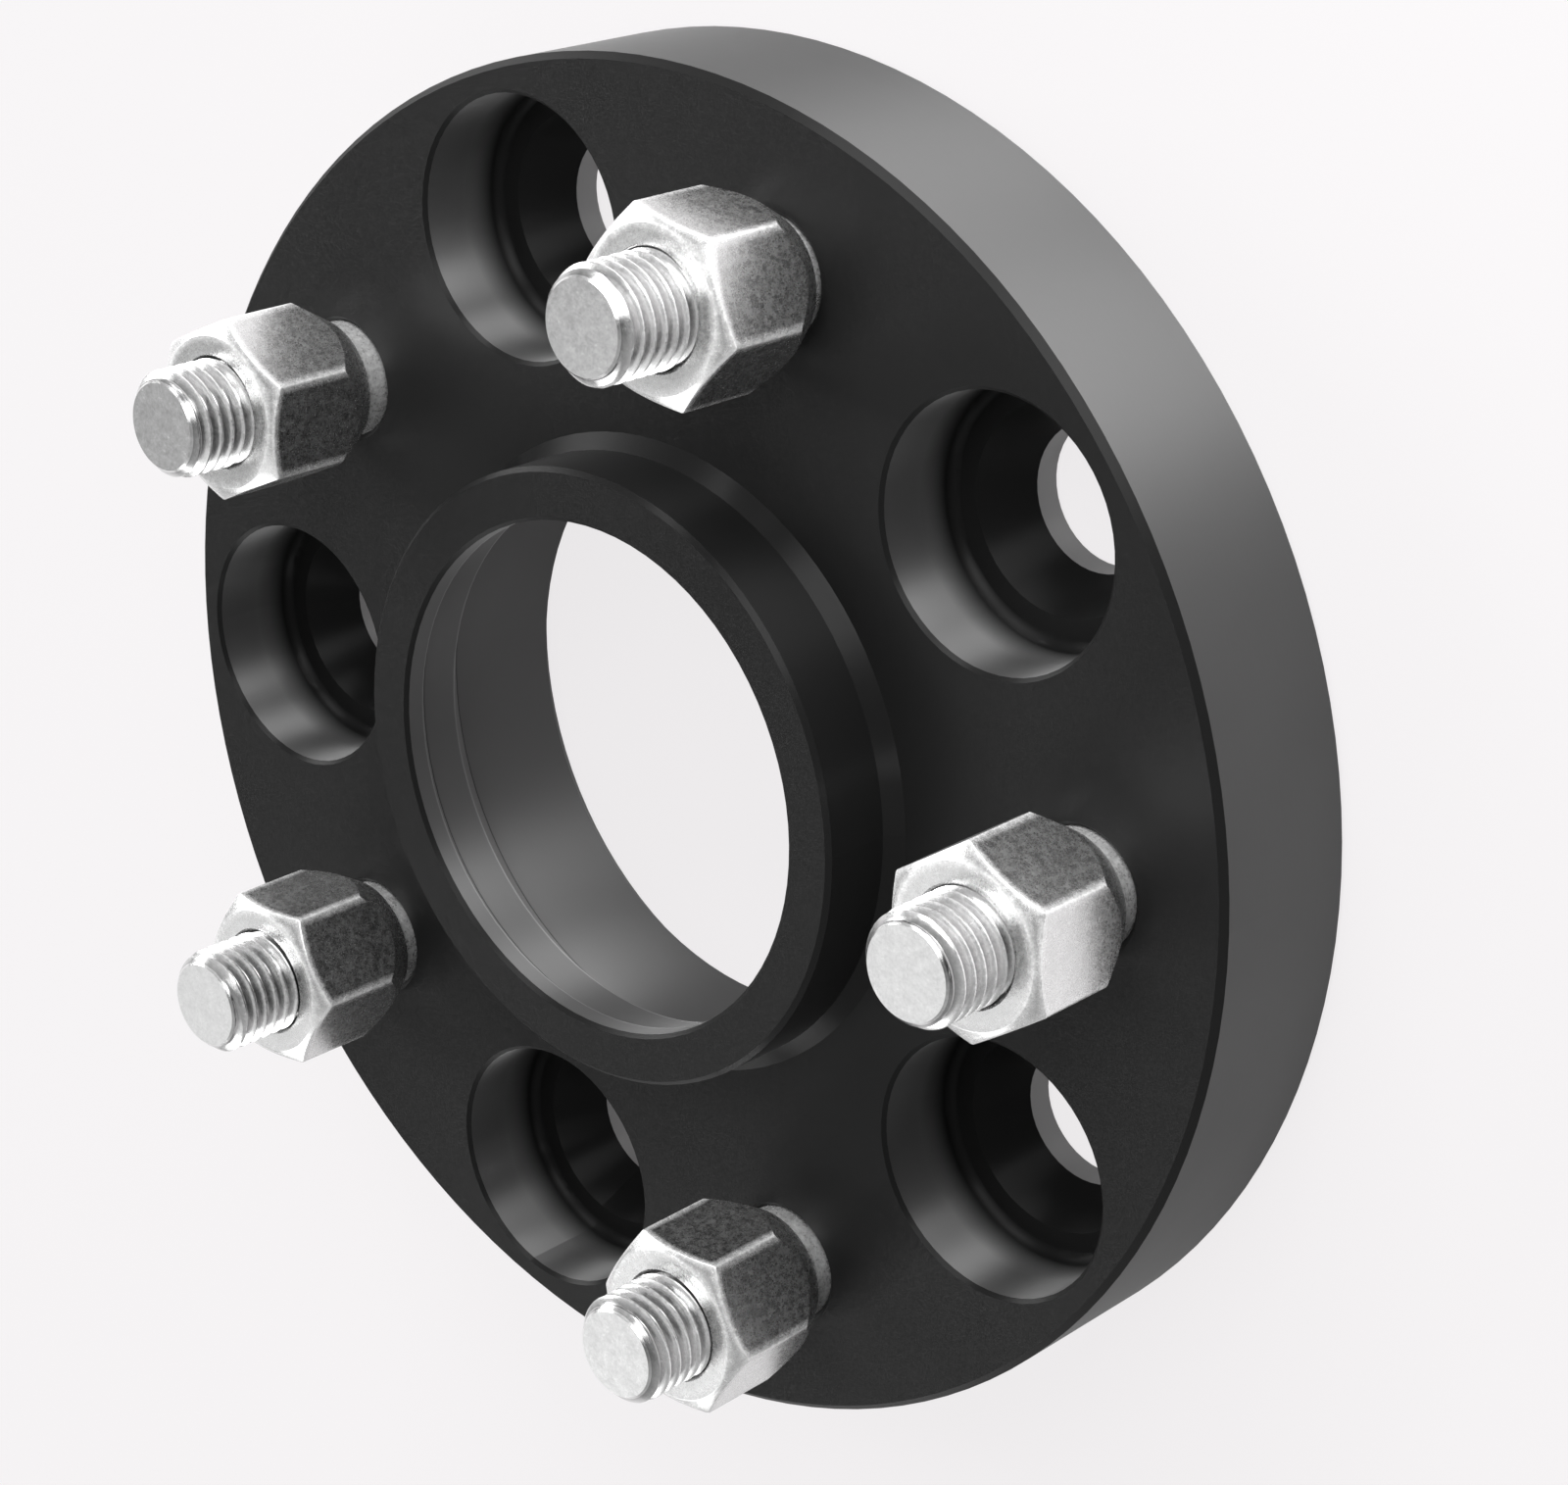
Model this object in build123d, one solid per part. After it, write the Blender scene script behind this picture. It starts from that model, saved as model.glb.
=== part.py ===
"""Hub-centric bolt-on wheel spacer for a five-stud hub.

A turned aluminium disc carries five pressed-in wheel studs, each with a lug nut run onto it,
and five deep pockets with conical seats, where the nuts that hold the disc to the vehicle's
hub go. The disc lies on its flat rear face, which is the plane z = 0. The wheel side faces +Z,
and the wheel axis is Z. The first stud is on +X. All sizes are in millimetres.
"""
from build123d import *
import os
from math import cos, radians, sin, tan

# Bolt circle, shared by the studs and the lug pockets
bolt_circle_diameter = 114.3
stud_count = 5

# Disc
disc_thickness = 20.0
rim_wall = 3.0
disc_edge_chamfer = 0.7

# Centring lip on the wheel side
lip_diameter = 67.1
lip_height = 9.8
lip_edge_chamfer = 0.5
lip_root_cone = 1.6

# Bore, from the lip's mouth to the recess for the vehicle's hub
mouth_bore_diameter = 55.8
mouth_bore_length = 2.5
mouth_chamfer = 0.4
middle_bore_diameter = 58.6
hub_diameter = 67.1
hub_clearance = 0.1
recess_setback = 3.0
recess_lead_chamfer = 2.8

# Lug pockets
pocket_diameter = 28.2
pocket_depth = 10.8
pocket_floor_fillet = 1.0
pocket_mouth_chamfer = 0.4
seat_cone_diameter = 22.0
cone_angle = 60.0
lug_hole_diameter = 15.5
lug_hole_chamfer = 0.5

# Wheel studs
thread_diameter = 11.9
shoulder_step = 0.5
shoulder_rise = 2.6
shoulder_chamfer = 0.3
stud_reach = 25.9
stud_end_chamfer = 1.2
stud_hole_clearance = 0.1
stud_hole_chamfer = 0.5
knurl_length = 8.0
knurl_depth = 0.35
knurl_teeth = 36
head_diameter = 18.0
head_thickness = 4.0
head_chamfer = 0.8
head_side_clearance = 0.5
head_inset = 0.3

# Lug nuts. Each nut has been run down its stud by hand, so each stands at its own height
# above the disc and at its own angle. Both lists start with the nut on +X.
across_flats = 18.0
hexagon_length = 10.2
tip_diameter = 14.6
nut_face_inset = 0.6
nut_chamfer_angle = 30.0
nut_bore_clearance = 0.1
nut_bore_chamfer = 0.3
relief_clearance = 0.5
relief_margin = 0.8
nut_gaps = [2.2, 1.1, 2.8, 1.7, 2.4]
nut_turns = [31.5, 46.2, 23.3, 57.0, 55.5]

# Radii and heights that follow from the sizes above
bolt_circle_radius = bolt_circle_diameter / 2
pocket_radius = pocket_diameter / 2
disc_radius = bolt_circle_radius + pocket_radius + rim_wall
lip_radius = lip_diameter / 2
lip_top = disc_thickness + lip_height
mouth_bore_radius = mouth_bore_diameter / 2
middle_bore_radius = middle_bore_diameter / 2
recess_radius = hub_diameter / 2 + hub_clearance / 2
recess_top = disc_thickness - recess_setback
pocket_floor = disc_thickness - pocket_depth
lug_hole_radius = lug_hole_diameter / 2
seat_cone_radius = seat_cone_diameter / 2
half_cone = radians(cone_angle / 2)
thread_radius = thread_diameter / 2
shoulder_radius = thread_radius + shoulder_step
stud_hole_radius = shoulder_radius + stud_hole_clearance / 2
head_radius = head_diameter / 2
head_top = head_inset + head_thickness
shoulder_top = disc_thickness + shoulder_rise
stud_top = disc_thickness + stud_reach
nut_bore_radius = thread_radius + nut_bore_clearance / 2
relief_radius = shoulder_radius + relief_clearance / 2
relief_depth = max(shoulder_rise - min(nut_gaps), 0) + relief_margin
tip_radius = tip_diameter / 2
corner_radius = across_flats / 2 / cos(radians(30))
seat_length = (corner_radius - tip_radius) / tan(half_cone)
nut_length = hexagon_length + seat_length
pitch_angle = 360.0 / stud_count


def turned(points):
    """Solid of revolution about Z from a closed section of (radius, height) points."""
    section = make_face(Polyline([(radius, 0, height) for radius, height in points], close=True))
    return revolve(section, Axis.Z)


def on_bolt_circle(shape, angle):
    """The shape moved from the Z axis out to the bolt circle, at an angle from +X."""
    return Rot(0, 0, angle) * Pos(bolt_circle_radius, 0, 0) * shape


def disc_blank():
    """Disc, centring lip and stepped bore, turned as one section."""
    mouth_end = lip_top - mouth_bore_length
    first_step = middle_bore_radius - mouth_bore_radius
    second_step = recess_radius - middle_bore_radius
    section = [
        (recess_radius + recess_lead_chamfer, 0),
        (disc_radius - disc_edge_chamfer, 0),
        (disc_radius, disc_edge_chamfer),
        (disc_radius, disc_thickness - disc_edge_chamfer),
        (disc_radius - disc_edge_chamfer, disc_thickness),
        (lip_radius + lip_root_cone, disc_thickness),
        (lip_radius, disc_thickness + lip_root_cone),
        (lip_radius, lip_top - lip_edge_chamfer),
        (lip_radius - lip_edge_chamfer, lip_top),
        (mouth_bore_radius + mouth_chamfer, lip_top),
        (mouth_bore_radius, lip_top - mouth_chamfer),
        (mouth_bore_radius, mouth_end),
        (middle_bore_radius, mouth_end - first_step),
        (middle_bore_radius, recess_top + second_step),
        (recess_radius, recess_top),
        (recess_radius, recess_lead_chamfer),
    ]
    return turned(section)


def pocket_cutter():
    """Lug pocket: straight wall, filleted floor, conical nut seat and through hole."""
    over = 1.0
    mouth_radius = pocket_radius + pocket_mouth_chamfer + over
    seat_bottom = pocket_floor - (seat_cone_radius - lug_hole_radius) / tan(half_cone)
    fillet = pocket_floor_fillet
    corner = pocket_radius - fillet
    bulge = fillet * sin(radians(45))
    wall = Polyline(
        (corner, 0, pocket_floor),
        (seat_cone_radius, 0, pocket_floor),
        (lug_hole_radius, 0, seat_bottom),
        (lug_hole_radius, 0, lug_hole_chamfer),
        (lug_hole_radius + lug_hole_chamfer + over, 0, -over),
        (0, 0, -over),
        (0, 0, disc_thickness + over),
        (mouth_radius, 0, disc_thickness + over),
        (pocket_radius, 0, disc_thickness - pocket_mouth_chamfer),
        (pocket_radius, 0, pocket_floor + fillet),
    )
    rounding = ThreePointArc(
        (pocket_radius, 0, pocket_floor + fillet),
        (corner + bulge, 0, pocket_floor + fillet - bulge),
        (corner, 0, pocket_floor),
    )
    return revolve(make_face(wall + rounding), Axis.Z)


def stud_hole_cutter():
    """Stud hole with the counterbore for the stud's head behind it."""
    over = 1.0
    recess = head_radius + head_side_clearance
    section = [
        (0, -over),
        (recess, -over),
        (recess, head_top),
        (stud_hole_radius, head_top),
        (stud_hole_radius, disc_thickness - stud_hole_chamfer),
        (stud_hole_radius + stud_hole_chamfer + over, disc_thickness + over),
        (0, disc_thickness + over),
    ]
    return turned(section)


def spacer_body():
    """The finished disc, with its studs' holes and its lug pockets."""
    body = disc_blank()
    for index in range(stud_count):
        angle = index * pitch_angle
        body -= on_bolt_circle(stud_hole_cutter(), angle)
        body -= on_bolt_circle(pocket_cutter(), angle + pitch_angle / 2)
    return body


def knurl():
    """Straight knurl under the head, whose crests grip the wall of the stud's hole."""
    root = stud_hole_radius - knurl_depth
    tooth = 360.0 / knurl_teeth
    points = []
    for index in range(knurl_teeth):
        points.append(Vector(stud_hole_radius, 0).rotate(Axis.Z, index * tooth))
        points.append(Vector(root, 0).rotate(Axis.Z, (index + 0.5) * tooth))
    serrated = make_face(Polyline(points, close=True))
    return Pos(0, 0, head_top) * extrude(serrated, knurl_length)


def wheel_stud():
    """Stud on the Z axis: round head, knurl, plain shoulder and threaded end."""
    knurl_top = head_top + knurl_length
    section = [
        (0, head_inset),
        (head_radius - head_chamfer, head_inset),
        (head_radius, head_inset + head_chamfer),
        (head_radius, head_top),
        (stud_hole_radius - knurl_depth, head_top),
        (stud_hole_radius - knurl_depth, knurl_top),
        (shoulder_radius, knurl_top),
        (shoulder_radius, shoulder_top - shoulder_chamfer),
        (shoulder_radius - shoulder_chamfer, shoulder_top),
        (thread_radius, shoulder_top),
        (thread_radius, stud_top - stud_end_chamfer),
        (thread_radius - stud_end_chamfer, stud_top),
        (0, stud_top),
    ]
    return turned(section) + knurl()


def lug_nut():
    """Nut on the Z axis, its tip at z = 0: a hexagon bar turned to a conical seat and a front chamfer.

    The cone meets the hexagon's corners first, so each flat ends in a curve on both sides.
    """
    face_radius = across_flats / 2 - nut_face_inset
    over = 1.0
    front_drop = (corner_radius + over - face_radius) * tan(radians(nut_chamfer_angle))
    entry_radius = nut_bore_radius + nut_bore_chamfer
    blank = turned([
        (relief_radius, 0),
        (tip_radius, 0),
        (corner_radius + over, seat_length + over / tan(half_cone)),
        (corner_radius + over, nut_length - front_drop),
        (face_radius, nut_length),
        (entry_radius, nut_length),
        (nut_bore_radius, nut_length - nut_bore_chamfer),
        (nut_bore_radius, relief_depth + relief_radius - nut_bore_radius),
        (relief_radius, relief_depth),
    ])
    return blank & extrude(RegularPolygon(corner_radius, 6), nut_length)


def write(shape, name):
    """One STEP file per piece, named after the piece."""
    export_step(shape, f"parts/{name}.step")


os.makedirs("parts", exist_ok=True)
write(spacer_body(), "spacer_body")
stud = wheel_stud()
nut = lug_nut()
for index in range(stud_count):
    angle = index * pitch_angle
    height = disc_thickness + nut_gaps[index % len(nut_gaps)]
    turn = nut_turns[index % len(nut_turns)] - angle
    placed_nut = Pos(0, 0, height) * Rot(0, 0, turn) * nut
    write(on_bolt_circle(stud, angle), f"wheel_stud_{index + 1}")
    write(on_bolt_circle(placed_nut, angle), f"lug_nut_{index + 1}")
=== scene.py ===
"""Looks of the wheel spacer: its black anodised disc, zinc-plated nuts and studs with rolled threads.

Everything is in metres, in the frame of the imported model: the disc lies on its rear face, the
wheel axis is Z, and the first stud is on +X.
"""
import math

import bpy
from mathutils import Euler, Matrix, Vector


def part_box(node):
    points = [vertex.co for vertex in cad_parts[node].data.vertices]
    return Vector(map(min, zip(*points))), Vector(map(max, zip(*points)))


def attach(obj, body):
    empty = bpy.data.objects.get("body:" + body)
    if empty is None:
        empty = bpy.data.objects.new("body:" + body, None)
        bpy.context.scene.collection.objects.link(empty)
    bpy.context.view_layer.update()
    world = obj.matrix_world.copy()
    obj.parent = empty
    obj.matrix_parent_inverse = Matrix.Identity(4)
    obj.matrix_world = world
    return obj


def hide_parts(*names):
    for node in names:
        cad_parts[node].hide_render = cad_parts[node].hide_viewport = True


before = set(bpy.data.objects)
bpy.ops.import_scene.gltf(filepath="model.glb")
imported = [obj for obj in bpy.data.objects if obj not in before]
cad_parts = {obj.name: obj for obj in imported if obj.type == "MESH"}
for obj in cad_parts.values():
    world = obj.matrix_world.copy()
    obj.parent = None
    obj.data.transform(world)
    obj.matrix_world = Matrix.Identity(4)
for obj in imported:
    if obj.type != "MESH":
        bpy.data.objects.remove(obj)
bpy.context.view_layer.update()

MM = 0.001
BODY = "root"
DISC_NODE = "spacer_body"
STUD_COUNT = 5

# Camera
CAMERA_PLACE = (0.256934, 0.137501, 0.281316)
CAMERA_TURN = (-21.0765, 42.0489, -1.0186)
CAMERA_SENSOR = 36.0
CAMERA_LENS = 84.568
CAMERA_NEAR = 0.01
CAMERA_FAR = 50.0

# Bolt circle
BOLT_CIRCLE_RADIUS = 57.15 * MM
PITCH_ANGLE = 2 * math.pi / STUD_COUNT

# Threads. The flats are shares of the pitch, and each stud's thread starts at another share of a turn
THREAD_RADIUS = 5.95 * MM
THREAD_PITCH = 1.5 * MM
THREAD_DEPTH = 0.92 * MM
THREAD_END_CHAMFER = 1.2 * MM
CREST_FLAT = 0.1
ROOT_FLAT = 0.2
THREAD_STARTS = (0.10, 0.45, 0.80, 0.30, 0.65)
THREAD_STEPS = 144
THREAD_ROWS = 16
LEAD_TURNS = 2
WELD_DISTANCE = 0.002 * MM

# Studs below their threads
SHOULDER_RADIUS = 6.45 * MM
SHOULDER_TOP = 22.6 * MM
SHOULDER_CHAMFER = 0.3 * MM
SHOULDER_ROUNDING = 0.05 * MM
STUD_HOLE_RADIUS = 6.5 * MM
KNURL_DEPTH = 0.35 * MM
KNURL_TEETH = 36
KNURL_LENGTH = 8.0 * MM
KNURL_END = 0.01 * MM
HEAD_RADIUS = 9.0 * MM
HEAD_THICKNESS = 4.0 * MM
HEAD_CHAMFER = 0.8 * MM
HEAD_ROUNDING = 0.2 * MM
HEAD_EDGE_ROUNDING = 0.1 * MM

# Nuts
SIXTH_TURN = math.pi / 3
NUT_APOTHEM = 9.0 * MM
NUT_CORNER_ROUNDING = 0.45 * MM
NUT_CORNER_STEPS = 6
NUT_FLAT_STEPS = 16
NUT_FACE_RADIUS = 8.4 * MM
NUT_CHAMFER_ANGLE = math.radians(30)
NUT_EDGE_ROUNDING = 0.25 * MM
NUT_SEAT_ANGLE = math.radians(30)
NUT_SEAT_ROUNDING = 0.3 * MM
NUT_TIP_RADIUS = 7.3 * MM
NUT_TIP_ROUNDING = 0.15 * MM
NUT_RELIEF_RADIUS = 6.7 * MM
NUT_RELIEF_DEPTH = 2.3 * MM
NUT_BORE_RADIUS = 6.0 * MM
NUT_ENTRY_CHAMFER = 0.3 * MM
NUT_ENTRY_ROUNDING = 0.05 * MM
NUT_TURNS = (31.5, 46.2, 23.3, 57.0, 55.5)

# Meshes: how a rounded corner is divided, the most of a side that it takes, and where shading breaks
ROUNDING_STEPS = 4
ROUNDING_SHARE = 0.45
SMOOTH_ANGLE = math.radians(32)

# Zones of the disc, by distance from an axis and by height
RIM_FROM = 73.4 * MM
BORE_TO = 33.3 * MM
MOUTH_TOP = 29.35 * MM
RECESS_TO = 37.0 * MM
RECESS_TOP = 17.2 * MM
POCKET_ZONE = 14.6 * MM
# Heights above the pockets' floors over which their sheen fades in: below it, painted shade
POCKET_BOTTOM = 10.3 * MM
POCKET_SHADE_FADE = 4.0 * MM
POCKET_TOP = 19.59 * MM
BARE_HOLE_TO = 8.4 * MM

# Zones of the disc by how level the metal lies, from 0 on a wall to 1 on a face
WALL_BELOW = 0.3
BORE_BELOW = 0.9
FACE_ABOVE = 0.99

# Finish of the disc: each sheen is a colour, and each satin a roughness, that a zone adds to the faces' own
FACE_COLOUR = 0.010
RIM_SHEEN = 0.145
BORE_SHEEN = 0.18
POCKET_SHEEN = 0.18
BARE_COLOUR = 0.32
FACE_ROUGHNESS = 0.34
RIM_SATIN = 0.10
BORE_SATIN = 0.08
POCKET_SATIN = 0.08
BARE_POLISH = 0.10
CLOUD_ROUGHNESS = 0.10
MARKS_ROUGHNESS = 0.06
RIM_METAL = 0.9
WALL_METAL = 0.9
DISC_STRETCH = 0.92
DISC_SPECULAR = 0.18

# Turning marks and grain of the disc, per metre, how much of each there is, and their depth
MARKS_SCALE = 5200.0
CLOUD_SCALE = 55.0
MARKS_SHARE = 0.55
GRAIN_SHARE = 0.45
MARKS_DEPTH = 0.004 * MM

# Steps of the bore: bright lines on the edges that stand out, partly rubbing and partly a painted highlight,
# and dark lines of painted shade in the corners
STEP_EDGES = (27.3 * MM, 21.35 * MM)
STEP_CORNERS = (25.9 * MM, 17.0 * MM)
STEP_LINE = 0.16 * MM
STEP_EDGE_WEAR_AND_HIGHLIGHT = 0.16
STEP_CORNER_SHADE = 0.8

# Zinc: bright, with patches that are lighter and rougher
ZINC_COLOUR = 0.77
PATCH_COLOUR = 0.20
PATCH_ROUGHNESS = 0.08
PATCHES_FROM = 0.38
PATCHES_TO = 0.67
PATCHY_WEAR_AND_HIGHLIGHT = 0.5
SPECK_FINENESS = 3.7
WAVE_FINENESS = 0.5
SPECK_RELIEF = 0.1
WAVE_RELIEF = 0.8
ZINC_DEPTH = 0.010 * MM

# Zinc: rubbing and painted highlight, which make it chalkier and lighter, and painted shade, which darkens it
WEAR_AND_HIGHLIGHT_CHALK = 0.85
WEAR_AND_HIGHLIGHT_POLISH = 0.06
PAINTED_SHADE_DARKNESS = 0.9
ROOT_SHADE = 0.45
ROOT_MARGIN = 0.05 * MM
CREST_WEAR_AND_HIGHLIGHT = 0.5
SHOULDER_HIGHLIGHT = 0.5
EDGE_WIDTH = 0.55 * MM
FLAT_MARGIN = 0.02 * MM
ENTRY_SHARE = 0.9

# Floor: how far the camera and reflections see it glow evenly white, past its own light and shadow.
# The backdrop is as bright to the camera as the floor is far off
FLOOR_HALF_WIDTH = 6.0
FLOOR_COLOUR = (0.86, 0.85, 0.855, 1)
FLOOR_ROUGHNESS = 0.9
GLOW_COLOUR = (0.92, 0.90, 0.91, 1)
FLOOR_GLOW = 0.88
FLOOR_MIRRORED_GLOW = 0.30
BACKDROP_GLOW = 0.84

# Room: its light, and its darker sides, each as bearing, elevation and half width in degrees, and depth
ROOM_STRENGTH = 0.36
ROOM_SHADES = (
    (28, 5, 75, 1.0),
)

# Lamps: name, bearing and elevation in degrees, distance, width, height, and brightness seen from the disc
SOFTBOXES = (
    ("front softbox", 236, 40, 1.2, 1.15, 0.9, 0.50),
    ("main softbox", 160, 27, 1.2, 0.5, 0.5, 8.5),
    ("upper softbox", 92, 24, 1.2, 0.6, 0.4, 12.5),
    ("side softbox", 54, 28, 0.35, 0.18, 0.42, 4.8),
    ("lower softbox", 244, 25, 1.2, 0.5, 0.5, 3.6),
)


# Node trees
class Field:
    """A value in a node tree. Arithmetic on it adds math nodes to that tree."""

    def __init__(self, tree, socket):
        self.tree = tree
        self.socket = socket

    def math(self, operation, *others):
        made = self.tree.nodes.new("ShaderNodeMath")
        made.operation = operation
        for socket, value in zip(made.inputs, (self, *others)):
            plug(self.tree, value, socket)
        return Field(self.tree, made.outputs[0])

    def __add__(self, other):
        return self.math("ADD", other)

    def __sub__(self, other):
        return self.math("SUBTRACT", other)

    def __mul__(self, other):
        return self.math("MULTIPLY", other)

    def __truediv__(self, other):
        return self.math("DIVIDE", other)

    def least(self, other):
        return self.math("MINIMUM", other)

    def most(self, other):
        return self.math("MAXIMUM", other)

    def clipped(self):
        """The value held between nothing and one."""
        return self.most(0.0).least(1.0)

    def below(self, limit):
        """One where the value is below a limit, and nothing elsewhere."""
        return self.math("LESS_THAN", limit)

    def above(self, limit):
        """One where the value is above a limit, and nothing elsewhere."""
        return self.math("GREATER_THAN", limit)


def plug(tree, value, socket):
    """Links a field or an output to a socket, or writes a plain value on it."""
    if isinstance(value, Field):
        tree.links.new(value.socket, socket)
    elif isinstance(value, bpy.types.NodeSocket):
        tree.links.new(value, socket)
    else:
        socket.default_value = value


def node(tree, kind, settings=None, **inputs):
    """Adds a node. Inputs are named by their labels, with underscores for spaces."""
    made = tree.nodes.new(kind)
    for name, value in (settings or {}).items():
        setattr(made, name, value)
    for name, value in inputs.items():
        plug(tree, value, made.inputs[name.replace("_", " ")])
    return made


def output(tree, made, label="Fac"):
    """One output of a node, as a field."""
    return Field(tree, made.outputs[label])


def axes(tree, vector):
    """The X, Y and Z of a vector, as three fields."""
    parts = node(tree, "ShaderNodeSeparateXYZ", Vector=vector)
    return [output(tree, parts, axis) for axis in "XYZ"]


def geometry_tree(name, sizes):
    """A geometry tree with a named input for each size. Returns the tree and its fields."""
    tree = bpy.data.node_groups.new(name, "GeometryNodeTree")
    tree.interface.new_socket(name="Geometry", in_out="INPUT", socket_type="NodeSocketGeometry")
    for label, kind in sizes.items():
        tree.interface.new_socket(name=label, in_out="INPUT", socket_type=f"NodeSocket{kind}")
    tree.interface.new_socket(name="Geometry", in_out="OUTPUT", socket_type="NodeSocketGeometry")
    entry = tree.nodes.new("NodeGroupInput")
    fields = {label: output(tree, entry, label) for label in sizes}
    return tree, entry.outputs["Geometry"], fields


def end_tree(tree, geometry, material):
    """Closes a geometry tree with plain, joined geometry in one material."""
    solid = node(tree, "GeometryNodeRealizeInstances", Geometry=geometry)
    finished = node(tree, "GeometryNodeSetMaterial", Geometry=solid.outputs[0], Material=material)
    exit_node = tree.nodes.new("NodeGroupOutput")
    tree.links.new(finished.outputs[0], exit_node.inputs[0])


def grow(piece, tree, values):
    """Runs a geometry tree on a piece and keeps its result as a plain mesh."""
    modifier = piece.modifiers.new(tree.name, "NODES")
    modifier.node_group = tree
    for item in tree.interface.items_tree:
        if item.in_out == "INPUT" and item.name in values:
            modifier[item.identifier] = values[item.name]
    bpy.context.view_layer.update()
    evaluated = piece.evaluated_get(bpy.context.evaluated_depsgraph_get())
    mesh = bpy.data.meshes.new_from_object(evaluated)
    piece.modifiers.remove(modifier)
    piece.data = mesh
    mesh.name = piece.name


# Meshes
def piece_from(name, vertices, faces, material):
    """A piece from its vertices and faces, in one material."""
    mesh = bpy.data.meshes.new(name)
    mesh.from_pydata(vertices, [], faces)
    mesh.materials.append(material)
    piece = bpy.data.objects.new(name, mesh)
    bpy.context.scene.collection.objects.link(piece)
    return piece


def smooth(piece):
    """Smooth shading that breaks at sharp edges."""
    piece.data.shade_smooth()
    piece.data.set_sharp_from_angle(angle=SMOOTH_ANGLE)


def rounded(corners):
    """A polyline of (across, up, rounding) corners, with each rounding as a short arc."""
    line = []
    count = len(corners)
    for index, (across, up, rounding) in enumerate(corners):
        here = Vector((across, up))
        if not rounding:
            line.append(here)
            continue
        before = Vector(corners[index - 1][:2]) - here
        after = Vector(corners[(index + 1) % count][:2]) - here
        half = before.angle(after) / 2
        reach = min(rounding / math.tan(half), before.length * ROUNDING_SHARE, after.length * ROUNDING_SHARE)
        first = here + before.normalized() * reach
        last = here + after.normalized() * reach
        for step in range(ROUNDING_STEPS + 1):
            part = step / ROUNDING_STEPS
            line.append(first * (1 - part) ** 2 + here * (2 * part * (1 - part)) + last * part ** 2)
    return line


def ring_mesh(sections, centre, closed):
    """Vertices and faces of a wall through one section of (radius, height) points per angle."""
    vertices = []
    faces = []
    rows = len(sections[0][1])
    turns = len(sections)
    for angle, section in sections:
        direction = Vector((math.cos(angle), math.sin(angle), 0))
        for radius, height in section:
            vertices.append(centre + direction * radius + Vector((0, 0, height)))
    for index in range(turns):
        here = index * rows
        after = (index + 1) % turns * rows
        for row in range(rows if closed else rows - 1):
            above = (row + 1) % rows
            faces.append((here + row, after + row, after + above, here + above))
    return vertices, faces


# Materials
def shader_tree(name):
    """A new material, with its tree and its surface shader."""
    material = bpy.data.materials.new(name)
    material.use_nodes = True
    tree = material.node_tree
    return material, tree, tree.nodes["Principled BSDF"]


def object_place(tree):
    """Where a point of the surface lies, in the model's own frame."""
    return tree.nodes.new("ShaderNodeTexCoord").outputs["Object"]


def noise(tree, place, scale, detail, roughness=0.5):
    """Random patches, as a node that gives a value and a colour."""
    return node(tree, "ShaderNodeTexNoise", Vector=place, Scale=scale, Detail=detail, Roughness=roughness)


def off_bolt_circle(x, y, offset):
    """Distance from the nearest axis on the bolt circle, counted from an offset angle."""
    radius = (x * x + y * y).math("SQRT")
    bearing = y.math("ARCTAN2", x) + (2 * math.pi + PITCH_ANGLE / 2 - offset)
    folded = bearing.math("FLOORED_MODULO", PITCH_ANGLE) - PITCH_ANGLE / 2
    along = radius * folded.math("COSINE") - BOLT_CIRCLE_RADIUS
    aside = radius * folded.math("SINE")
    return (along * along + aside * aside).math("SQRT")


def lines_at(height, levels):
    """One on thin rings at given heights, fading out over the width of a line."""
    total = None
    for level in levels:
        ring = ((height - level).math("ABSOLUTE") / -STEP_LINE + 1.0).most(0.0)
        total = ring if total is None else total + ring
    return total


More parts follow.
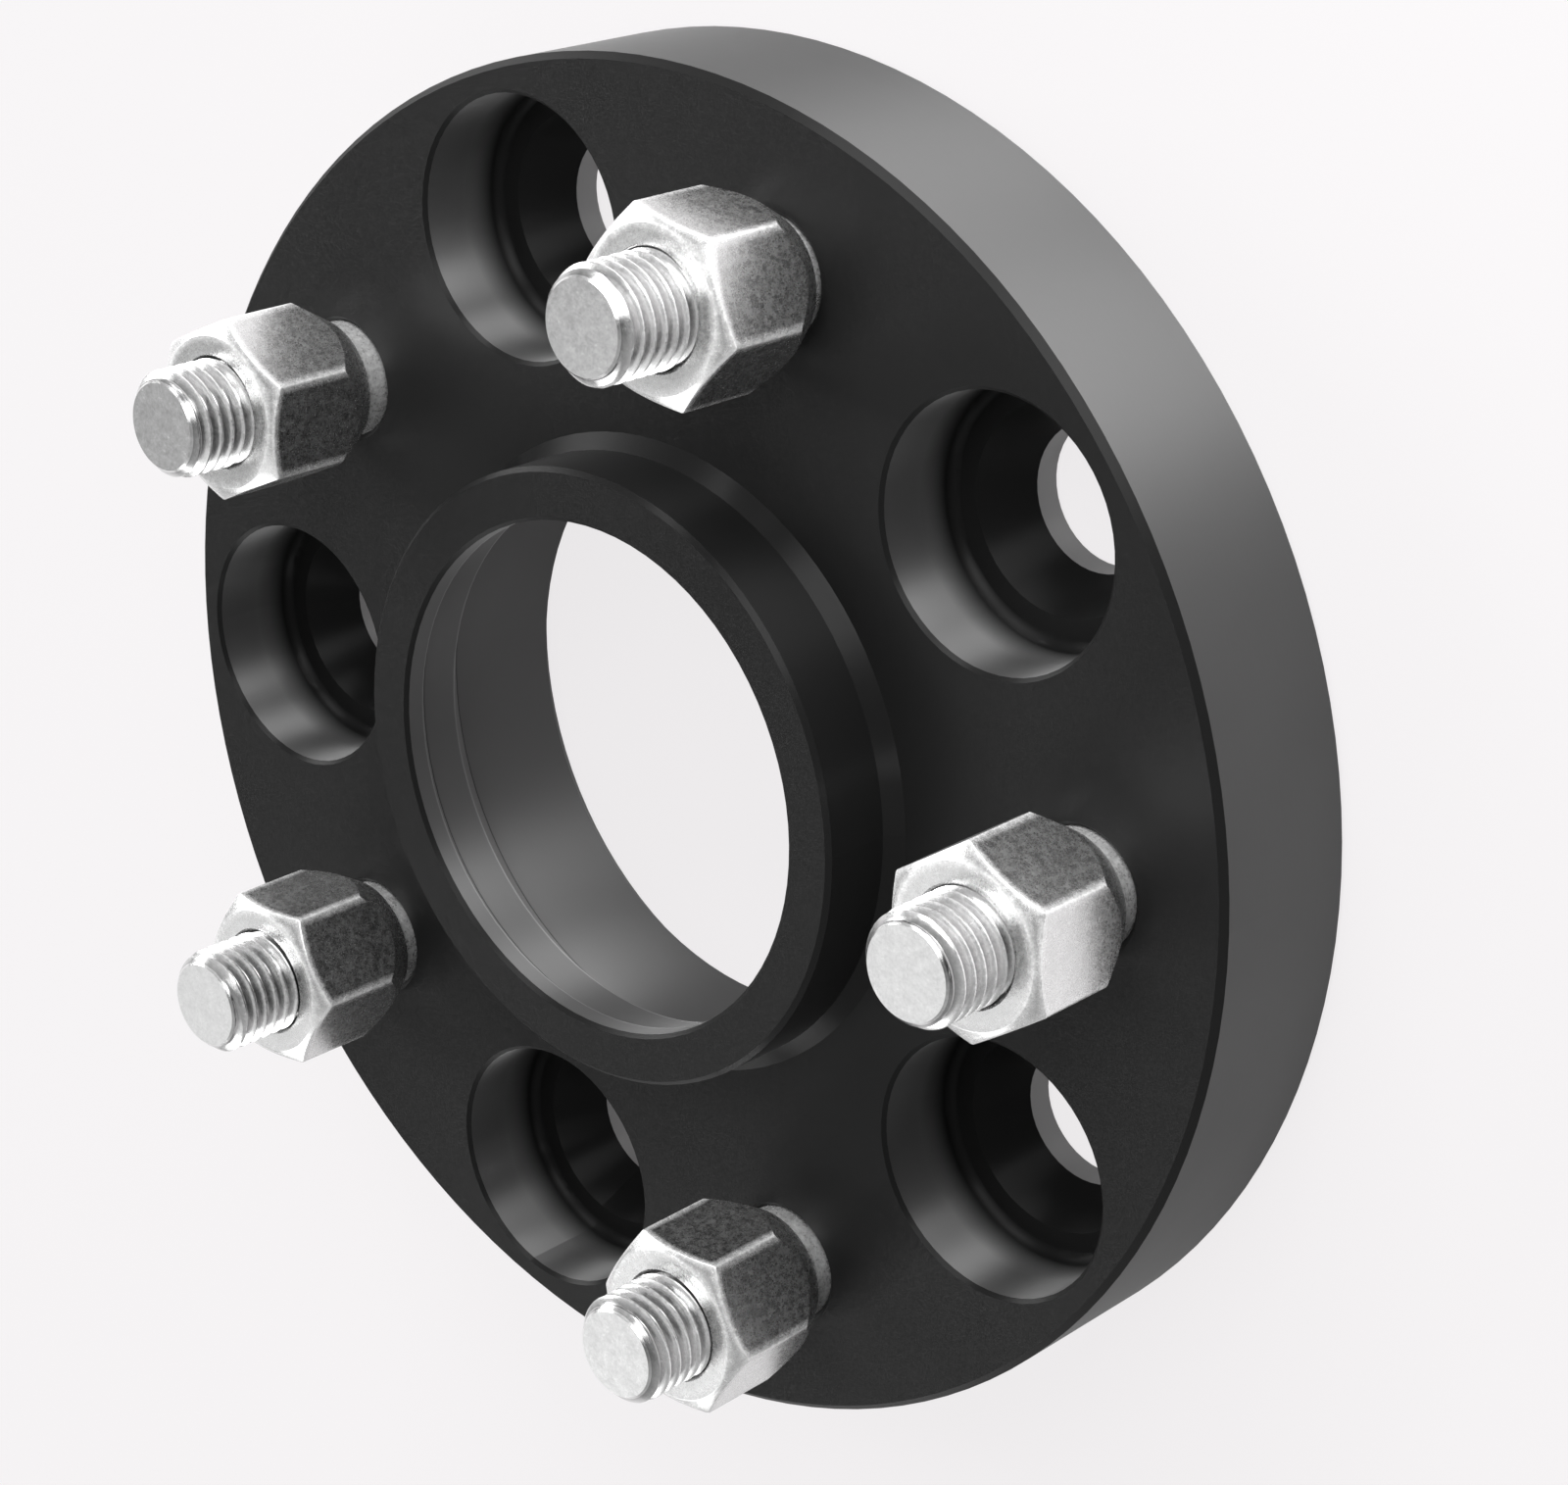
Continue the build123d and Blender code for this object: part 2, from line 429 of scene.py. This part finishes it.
def black_anodised():
    """Black anodised aluminium. Turned walls are slicker than the faces, and the lug holes are bare. The
    bore's steps carry lines of painted highlight and painted shade, and the pockets' sheen fades out towards
    their floors as painted shade.
    """
    material, tree, surface = shader_tree("black anodised aluminium")
    place = object_place(tree)
    x, y, height = axes(tree, place)
    radius = (x * x + y * y).math("SQRT")
    off_pocket = off_bolt_circle(x, y, PITCH_ANGLE / 2)
    normal = tree.nodes.new("ShaderNodeNewGeometry").outputs["True Normal"]
    level = axes(tree, normal)[2].math("ABSOLUTE")

    # Zones, each one on its own surfaces and nothing elsewhere
    wall = level.below(WALL_BELOW)
    rim = radius.above(RIM_FROM) * wall
    mouth = radius.below(BORE_TO) * height.below(MOUTH_TOP)
    recess = radius.above(BORE_TO) * radius.below(RECESS_TO) * height.below(RECESS_TOP)
    bore = (mouth + recess) * level.below(BORE_BELOW)
    bare = off_pocket.below(BARE_HOLE_TO) * wall
    in_pocket = off_pocket.below(POCKET_ZONE)
    # The pockets' sheen fades out towards their floors, a painted shade deep in each pocket
    deep_shade_fade = ((height - POCKET_BOTTOM) / POCKET_SHADE_FADE).clipped()
    pocket = (in_pocket - bare) * height.below(POCKET_TOP) * deep_shade_fade
    flat = level.above(FACE_ABOVE)

    # Fine turning marks, in rings on the faces and up the walls, over an even grain
    rings = radius + (off_pocket - radius) * in_pocket
    feed = height + (rings - height) * level
    turned = node(tree, "ShaderNodeTexNoise", {"noise_dimensions": "1D"},
                  W=feed, Scale=MARKS_SCALE, Detail=2.0, Roughness=0.6)
    grain = noise(tree, place, MARKS_SCALE, detail=3.0, roughness=0.6)
    cloud = noise(tree, place, CLOUD_SCALE, detail=3.0)
    relief = output(tree, turned) * MARKS_SHARE + output(tree, grain) * GRAIN_SHARE
    bump = node(tree, "ShaderNodeBump", Height=relief, Distance=MARKS_DEPTH, Strength=1.0)
    plug(tree, bump.outputs["Normal"], surface.inputs["Normal"])

    # Turning marks run round the walls, so highlights stretch up them. The faces have no direction
    grain_x, grain_y, _ = axes(tree, grain.outputs["Color"])
    stretch = node(tree, "ShaderNodeCombineXYZ",
                   X=(grain_x - 0.5) * flat, Y=(grain_y - 0.5) * flat, Z=flat * -1.0 + 1.0)
    plug(tree, stretch.outputs[0], surface.inputs["Tangent"])
    surface.inputs["Anisotropic"].default_value = DISC_STRETCH
    surface.inputs["Specular IOR Level"].default_value = DISC_SPECULAR

    # Colour, metal and roughness of each zone
    black = rim * RIM_SHEEN + bore * BORE_SHEEN + pocket * POCKET_SHEEN + FACE_COLOUR
    # Bright lines on the bore's step edges, partly rubbing and partly painted highlight, and dark lines of
    # painted shade in its corners
    wear_and_highlight = lines_at(height, STEP_EDGES) * bore * STEP_EDGE_WEAR_AND_HIGHLIGHT
    corner_shade = lines_at(height, STEP_CORNERS) * bore * -STEP_CORNER_SHADE + 1.0
    plug(tree, (black + wear_and_highlight + bare * BARE_COLOUR) * corner_shade, surface.inputs["Base Color"])
    plug(tree, rim * RIM_METAL + (bore + pocket) * WALL_METAL + bare, surface.inputs["Metallic"])
    uneven = output(tree, cloud) * CLOUD_ROUGHNESS + output(tree, turned) * MARKS_ROUGHNESS
    satin = rim * RIM_SATIN + bore * BORE_SATIN + pocket * POCKET_SATIN
    plug(tree, uneven + satin - bare * BARE_POLISH + FACE_ROUGHNESS, surface.inputs["Roughness"])
    return material


def zinc(name, patch_size, roughness, chalk, shade_and_wear):
    """Zinc-plated steel: a smooth metal with cloudy, chalkier patches that catch light of their own.

    The function passed last gives two fields for the piece: how dark its painted shade is, and how much
    rubbing and painted highlight it has.
    """
    material, tree, surface = shader_tree(name)
    place = object_place(tree)
    clouds = output(tree, noise(tree, place, 1 / patch_size, detail=5.0, roughness=0.68))
    specks = output(tree, noise(tree, place, SPECK_FINENESS / patch_size, detail=3.0, roughness=0.7))
    waves = output(tree, noise(tree, place, WAVE_FINENESS / patch_size, detail=2.0))
    mixed = clouds * 0.5 + specks * 0.5
    spread = node(tree, "ShaderNodeMapRange", Value=mixed, From_Min=PATCHES_FROM, From_Max=PATCHES_TO)
    patch = output(tree, spread, "Result")
    # Painted shade, and rubbing with painted highlight, for the piece
    painted_shade, wear_and_highlight = shade_and_wear(tree, place)
    wear_and_highlight = wear_and_highlight * (patch * PATCHY_WEAR_AND_HIGHLIGHT + (1 - PATCHY_WEAR_AND_HIGHLIGHT))
    # Painted shade darkens the colour; rubbing and painted highlight make the metal chalky and lighter, in
    # patches
    colour = (painted_shade * -PAINTED_SHADE_DARKNESS + 1.0) * (patch * PATCH_COLOUR + ZINC_COLOUR)
    chalky = patch * chalk + wear_and_highlight * WEAR_AND_HIGHLIGHT_CHALK
    plug(tree, colour, surface.inputs["Base Color"])
    plug(tree, patch * PATCH_ROUGHNESS + wear_and_highlight * -WEAR_AND_HIGHLIGHT_POLISH + roughness, surface.inputs["Roughness"])
    plug(tree, (chalky * -1.0 + 1.0).most(0.0), surface.inputs["Metallic"])
    relief = waves * WAVE_RELIEF + specks * SPECK_RELIEF
    bump = node(tree, "ShaderNodeBump", Height=relief, Distance=ZINC_DEPTH, Strength=1.0)
    plug(tree, bump.outputs["Normal"], surface.inputs["Normal"])
    return material


def thread_shade_and_wear(tree, place):
    """Roots of the thread are darkened with painted shade, its crests are lighter, partly from rubbing and
    partly as a painted highlight, and the plain shoulder is lighter with a painted highlight.
    """
    x, y, height = axes(tree, place)
    radius = off_bolt_circle(x, y, 0.0)
    root_radius = THREAD_RADIUS - THREAD_DEPTH
    crest = ((radius - root_radius) / THREAD_DEPTH).clipped()
    threaded = height.above(SHOULDER_TOP) * radius.above(root_radius - ROOT_MARGIN)
    # Painted shade in the thread roots
    painted_shade = (crest * -1.0 + 1.0) * threaded * ROOT_SHADE
    # Crests partly rubbed and partly a painted highlight; the shoulder a painted highlight
    shoulder = height.below(SHOULDER_TOP)
    return painted_shade, (crest * crest * threaded * CREST_WEAR_AND_HIGHLIGHT + shoulder * SHOULDER_HIGHLIGHT).least(1.0)


def nut_shade_and_wear(tree, place):
    """The edges of a nut are lighter, partly from rubbing and partly as a painted highlight, and its bore is
    darkened with painted shade.
    """
    edge = output(tree, node(tree, "ShaderNodeAttribute", {"attribute_name": "edge"}))
    bore = output(tree, node(tree, "ShaderNodeAttribute", {"attribute_name": "bore"}))
    return bore, edge


def white_floor():
    """A pale floor that keeps a soft shadow and stays white to the camera and in reflections."""
    material, tree, surface = shader_tree("pale studio floor")
    surface.inputs["Base Color"].default_value = FLOOR_COLOUR
    surface.inputs["Roughness"].default_value = FLOOR_ROUGHNESS
    surface.inputs["Specular IOR Level"].default_value = 0.0
    glow = node(tree, "ShaderNodeEmission", Color=GLOW_COLOUR, Strength=1.0)
    ray = tree.nodes.new("ShaderNodeLightPath")
    mirrored = output(tree, ray, "Is Glossy Ray") + output(tree, ray, "Is Transmission Ray")
    seen = output(tree, ray, "Is Camera Ray") * FLOOR_GLOW + mirrored * FLOOR_MIRRORED_GLOW
    blend = node(tree, "ShaderNodeMixShader")
    plug(tree, seen.least(1.0), blend.inputs[0])
    plug(tree, surface.outputs[0], blend.inputs[1])
    plug(tree, glow.outputs[0], blend.inputs[2])
    plug(tree, blend.outputs[0], tree.nodes["Material Output"].inputs["Surface"])
    return material


# Studs
def thread_tree():
    """Rolls a helical thread onto a turned blank: a strip, one thread wide, wound up the stud."""
    tree, blank, size = geometry_tree("Rolled thread", {
        "Thread Radius": "Float", "Thread Depth": "Float", "Pitch": "Float", "Start": "Float",
        "Foot Height": "Float", "Foot Radius": "Float", "End Height": "Float", "End Radius": "Float",
        "Turns": "Int", "Steps per Turn": "Int", "Rows per Thread": "Int", "Centre": "Vector",
        "Material": "Material"})
    strip = node(tree, "GeometryNodeMeshGrid", Size_X=1.0, Size_Y=1.0,
                 Vertices_X=size["Steps per Turn"] * size["Turns"] + 1.0,
                 Vertices_Y=size["Rows per Thread"] + 1.0)
    on_strip = tree.nodes.new("GeometryNodeInputPosition").outputs[0]
    length, width, _ = axes(tree, on_strip)
    wound = (length + 0.5) * size["Turns"]
    across = width + 0.5
    angle = wound * (2 * math.pi)
    climb = size["Foot Height"] + size["Pitch"] * (wound + across + size["Start"] - LEAD_TURNS)

    # From the flat crest in the middle of the strip down to the flat roots at its sides
    from_crest = (across * 2.0 - 1.0).math("ABSOLUTE")
    straight = ((from_crest - CREST_FLAT) / (1 - CREST_FLAT - ROOT_FLAT)).clipped()
    blended = straight * straight * (straight * -2.0 + 3.0)
    sunk = straight * 0.5 + blended * 0.5

    # Coned off at the stud's end, and closed onto its shoulder at the foot
    cone = size["End Radius"] + (size["End Height"] - climb).most(0.0)
    thread = (size["Thread Radius"] - size["Thread Depth"] * sunk).least(cone)
    radius = thread + (size["Foot Radius"] - thread) * climb.below(size["Foot Height"])
    point = node(tree, "ShaderNodeCombineXYZ",
                 X=radius * angle.math("COSINE"), Y=radius * angle.math("SINE"),
                 Z=climb.most(size["Foot Height"]).least(size["End Height"]))
    rolled = node(tree, "GeometryNodeSetPosition", Geometry=strip.outputs["Mesh"], Position=point.outputs[0])

    cap = node(tree, "GeometryNodeMeshCircle", {"fill_type": "TRIANGLE_FAN"},
               Vertices=size["Steps per Turn"], Radius=size["End Radius"])
    lift = node(tree, "ShaderNodeCombineXYZ", Z=size["End Height"])
    raised = node(tree, "GeometryNodeTransform", Geometry=cap.outputs[0], Translation=lift.outputs[0])
    end = node(tree, "GeometryNodeJoinGeometry")
    tree.links.new(rolled.outputs[0], end.inputs[0])
    tree.links.new(raised.outputs[0], end.inputs[0])
    placed = node(tree, "GeometryNodeTransform", Geometry=end.outputs[0], Translation=size["Centre"])
    both = node(tree, "GeometryNodeJoinGeometry")
    tree.links.new(blank, both.inputs[0])
    tree.links.new(placed.outputs[0], both.inputs[0])
    welded = node(tree, "GeometryNodeMergeByDistance", Geometry=both.outputs[0], Distance=WELD_DISTANCE)
    end_tree(tree, welded.outputs[0], size["Material"])
    return tree


def knurled(angle):
    """Depth of the knurl's V grooves at an angle round the stud."""
    turn = angle * KNURL_TEETH / (2 * math.pi)
    return KNURL_DEPTH * abs(2 * (turn - math.floor(turn)) - 1)


def stud_blank(name, centre, foot, material):
    """Everything of a stud below its thread: head, knurl and plain shoulder."""
    head_top = foot + HEAD_THICKNESS
    knurl_top = head_top + KNURL_LENGTH
    root = STUD_HOLE_RADIUS - KNURL_DEPTH
    sections = []
    for index in range(THREAD_STEPS):
        angle = 2 * math.pi * index / THREAD_STEPS
        ridge = STUD_HOLE_RADIUS - knurled(angle)
        sections.append((angle, rounded([
            (0, foot, 0),
            (HEAD_RADIUS - HEAD_CHAMFER, foot, HEAD_ROUNDING),
            (HEAD_RADIUS, foot + HEAD_CHAMFER, HEAD_ROUNDING),
            (HEAD_RADIUS, head_top, HEAD_EDGE_ROUNDING),
            (root, head_top, 0),
            (ridge, head_top + KNURL_END, 0),
            (ridge, knurl_top - KNURL_END, 0),
            (root, knurl_top, 0),
            (SHOULDER_RADIUS, knurl_top, 0),
            (SHOULDER_RADIUS, SHOULDER_TOP - SHOULDER_CHAMFER, SHOULDER_ROUNDING),
            (SHOULDER_RADIUS - SHOULDER_CHAMFER, SHOULDER_TOP, 0),
        ])))
    vertices, faces = ring_mesh(sections, centre, closed=False)
    return piece_from(name, vertices, faces, material)


def threaded_stud(index, tree, material):
    """One stud with its rolled thread, in the place of its solid."""
    node_name = f"wheel_stud_{index + 1}"
    low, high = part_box(node_name)
    centre = Vector(((low.x + high.x) / 2, (low.y + high.y) / 2, 0))
    piece = stud_blank(f"threaded_stud_{index + 1}", centre, low.z, material)
    grow(piece, tree, {
        "Thread Radius": THREAD_RADIUS, "Thread Depth": THREAD_DEPTH, "Pitch": THREAD_PITCH,
        "Start": THREAD_STARTS[index],
        "Foot Height": SHOULDER_TOP, "Foot Radius": SHOULDER_RADIUS - SHOULDER_CHAMFER,
        "End Height": high.z, "End Radius": THREAD_RADIUS - THREAD_END_CHAMFER,
        "Turns": math.ceil((high.z - SHOULDER_TOP) / THREAD_PITCH) + LEAD_TURNS,
        "Steps per Turn": THREAD_STEPS, "Rows per Thread": THREAD_ROWS,
        "Centre": centre, "Material": material,
    })
    smooth(piece)
    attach(piece, BODY)
    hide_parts(node_name)


# Nuts
def rounding_centre():
    """How far from the nut's axis the rounding of its corners has its middle."""
    return (NUT_APOTHEM - NUT_CORNER_ROUNDING) / math.cos(SIXTH_TURN / 2)


def on_rounding(lean):
    """Angle round the nut of the point of a corner's rounding that faces a given way."""
    across = rounding_centre() + NUT_CORNER_ROUNDING * math.cos(lean)
    return math.atan2(NUT_CORNER_ROUNDING * math.sin(lean), across)


def from_corner(angle):
    """How far an angle lies from the nearest of the hexagon's six corners."""
    return (angle + SIXTH_TURN / 2) % SIXTH_TURN - SIXTH_TURN / 2


def hexagon_angles():
    """Angles round one nut: close together at the rounded corners, further apart on the flats."""
    arc = [on_rounding(SIXTH_TURN * (step / NUT_CORNER_STEPS - 0.5)) for step in range(NUT_CORNER_STEPS + 1)]
    edge = arc[-1]
    flat = [edge + (SIXTH_TURN - 2 * edge) * step / NUT_FLAT_STEPS for step in range(1, NUT_FLAT_STEPS)]
    return [corner * SIXTH_TURN + angle for corner in range(6) for angle in arc + flat]


def hexagon_radius(angle):
    """Distance from the axis to the rounded hexagon, at an angle from one of its corners."""
    off_corner = from_corner(angle)
    middle = rounding_centre()
    if abs(off_corner) > on_rounding(SIXTH_TURN / 2):
        return NUT_APOTHEM / math.cos(SIXTH_TURN / 2 - abs(off_corner))
    beyond = math.sqrt(NUT_CORNER_ROUNDING ** 2 - (middle * math.sin(off_corner)) ** 2)
    return middle * math.cos(off_corner) + beyond


def chamfer_height(flat, top):
    """Height at which the front chamfer meets the hexagon, where the hexagon has a given radius."""
    return top - (flat - NUT_FACE_RADIUS) * math.tan(NUT_CHAMFER_ANGLE)


def nut_section(angle, tip, top):
    """The nut's cross-section at one angle, from the tip round the outside to the bore."""
    flat = hexagon_radius(angle)
    seat_top = tip + (flat - NUT_TIP_RADIUS) / math.tan(NUT_SEAT_ANGLE)
    chamfer_foot = chamfer_height(flat, top)
    relief_top = tip + NUT_RELIEF_DEPTH
    return rounded([
        (NUT_RELIEF_RADIUS, tip, 0),
        (NUT_TIP_RADIUS, tip, NUT_TIP_ROUNDING),
        (flat, seat_top, NUT_SEAT_ROUNDING),
        (flat, chamfer_foot - NUT_EDGE_ROUNDING - EDGE_WIDTH, 0),
        (flat, chamfer_foot, NUT_EDGE_ROUNDING),
        ((flat + NUT_FACE_RADIUS) / 2, (chamfer_foot + top) / 2, 0),
        (NUT_FACE_RADIUS, top, NUT_EDGE_ROUNDING),
        (NUT_FACE_RADIUS - NUT_EDGE_ROUNDING - EDGE_WIDTH, top, 0),
        (NUT_BORE_RADIUS + NUT_ENTRY_CHAMFER, top, NUT_ENTRY_ROUNDING),
        (NUT_BORE_RADIUS, top - NUT_ENTRY_CHAMFER, 0),
        (NUT_BORE_RADIUS, relief_top + NUT_RELIEF_RADIUS - NUT_BORE_RADIUS, 0),
        (NUT_RELIEF_RADIUS, relief_top, 0),
    ])


def nearness(distance):
    """One on an edge, and nothing further from it than the width of its rubbing and painted highlight."""
    return max(0.0, 1.0 - distance / EDGE_WIDTH)


def mark_edges(piece, centre, turn, top):
    """Stores how near each point lies to a corner or edge of the nut, which are rubbed and lit with a painted
    highlight, and which are in its bore, which painted shade darkens.
    """
    edge = piece.data.attributes.new("edge", "FLOAT", "POINT")
    bore = piece.data.attributes.new("bore", "FLOAT", "POINT")
    for point in piece.data.vertices:
        place = point.co - centre
        radius = math.hypot(place.x, place.y)
        angle = math.atan2(place.y, place.x) - turn
        flat = hexagon_radius(angle)
        on_flat = radius > flat - FLAT_MARGIN
        corner = nearness(abs(from_corner(angle)) * flat) if on_flat else 0.0
        front = nearness(math.hypot(place.z - chamfer_height(flat, top), radius - flat))
        face = nearness(math.hypot(place.z - top, radius - NUT_FACE_RADIUS))
        edge.data[point.index].value = max(corner, front, face)
        in_bore = radius < NUT_BORE_RADIUS + ENTRY_SHARE * NUT_ENTRY_CHAMFER
        bore.data[point.index].value = 1.0 if in_bore else 0.0


def lug_nut(index, material):
    """One nut with rounded edges, rubbed and lit with a painted highlight, in the place of its solid."""
    node_name = f"lug_nut_{index + 1}"
    low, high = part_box(node_name)
    centre = Vector(((low.x + high.x) / 2, (low.y + high.y) / 2, 0))
    turn = math.radians(NUT_TURNS[index])
    sections = [(angle + turn, nut_section(angle, low.z, high.z)) for angle in hexagon_angles()]
    vertices, faces = ring_mesh(sections, centre, closed=True)
    piece = piece_from(f"zinc_nut_{index + 1}", vertices, faces, material)
    mark_edges(piece, centre, turn, high.z)
    smooth(piece)
    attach(piece, BODY)
    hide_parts(node_name)


# Studio
def studio_floor(material):
    """A wide floor, which the disc lies on."""
    half = FLOOR_HALF_WIDTH
    corners = [(-half, -half, 0), (half, -half, 0), (half, half, 0), (-half, half, 0)]
    floor = piece_from("studio_floor", corners, [(0, 1, 2, 3)], material)


def toward(bearing, elevation):
    """The direction at a bearing from +X and an elevation, both in degrees."""
    turn, tilt = math.radians(bearing), math.radians(elevation)
    return Vector((math.cos(turn) * math.cos(tilt), math.sin(turn) * math.cos(tilt), math.sin(tilt)))


def softbox(name, bearing, elevation, distance, width, height, brightness):
    """A soft rectangular lamp, aimed at the disc, of a given brightness seen from it."""
    lamp = bpy.data.lights.new(name, "AREA")
    lamp.shape = "RECTANGLE"
    lamp.size = width
    lamp.size_y = height
    lamp.energy = brightness * math.pi * width * height
    holder = bpy.data.objects.new(name, lamp)
    away = toward(bearing, elevation)
    holder.location = away * distance
    holder.rotation_euler = away.to_track_quat("Z", "Y").to_euler()
    holder.visible_camera = False
    bpy.context.scene.collection.objects.link(holder)


def room_light():
    """A white room with soft darker sides, which the camera sees as an even backdrop."""
    world = bpy.data.worlds.new("studio")
    bpy.context.scene.world = world
    world.use_nodes = True
    tree = world.node_tree
    direction = tree.nodes.new("ShaderNodeTexCoord").outputs["Generated"]
    level = None
    for bearing, elevation, half_width, depth in ROOM_SHADES:
        facing = node(tree, "ShaderNodeVectorMath", {"operation": "DOT_PRODUCT"})
        plug(tree, direction, facing.inputs[0])
        plug(tree, toward(bearing, elevation), facing.inputs[1])
        shade = node(tree, "ShaderNodeMapRange", {"interpolation_type": "SMOOTHSTEP"},
                     Value=facing.outputs["Value"], From_Min=math.cos(math.radians(half_width)), From_Max=1.0,
                     To_Min=1.0, To_Max=1.0 - depth)
        kept = output(tree, shade, "Result")
        level = kept if level is None else level * kept
    seen = output(tree, tree.nodes.new("ShaderNodeLightPath"), "Is Camera Ray")
    lit = level * ROOM_STRENGTH
    background = tree.nodes["Background"]
    background.inputs["Color"].default_value = (1, 1, 1, 1)
    plug(tree, lit + (lit * -1.0 + BACKDROP_GLOW) * seen, background.inputs["Strength"])


def camera():
    """The camera, where it stood for the photograph."""
    lens = bpy.data.cameras.new("camera")
    lens.sensor_width = CAMERA_SENSOR
    lens.lens = CAMERA_LENS
    lens.clip_start = CAMERA_NEAR
    lens.clip_end = CAMERA_FAR
    holder = bpy.data.objects.new("camera", lens)
    holder.location = CAMERA_PLACE
    holder.rotation_euler = Euler([math.radians(turn) for turn in CAMERA_TURN], "XYZ")
    bpy.context.scene.collection.objects.link(holder)
    bpy.context.scene.camera = holder


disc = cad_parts[DISC_NODE]
disc.data.materials.clear()
disc.data.materials.append(black_anodised())
stud_zinc = zinc("zinc-plated stud", patch_size=1.3 * MM, roughness=0.20, chalk=0.06, shade_and_wear=thread_shade_and_wear)
nut_zinc = zinc("zinc-plated nut", patch_size=0.8 * MM, roughness=0.24, chalk=0.08, shade_and_wear=nut_shade_and_wear)
rolling = thread_tree()
for stud_index in range(STUD_COUNT):
    threaded_stud(stud_index, rolling, stud_zinc)
    lug_nut(stud_index, nut_zinc)

studio_floor(white_floor())
room_light()
for softbox_sizes in SOFTBOXES:
    softbox(*softbox_sizes)
camera()
bpy.context.scene.view_settings.view_transform = "Standard"
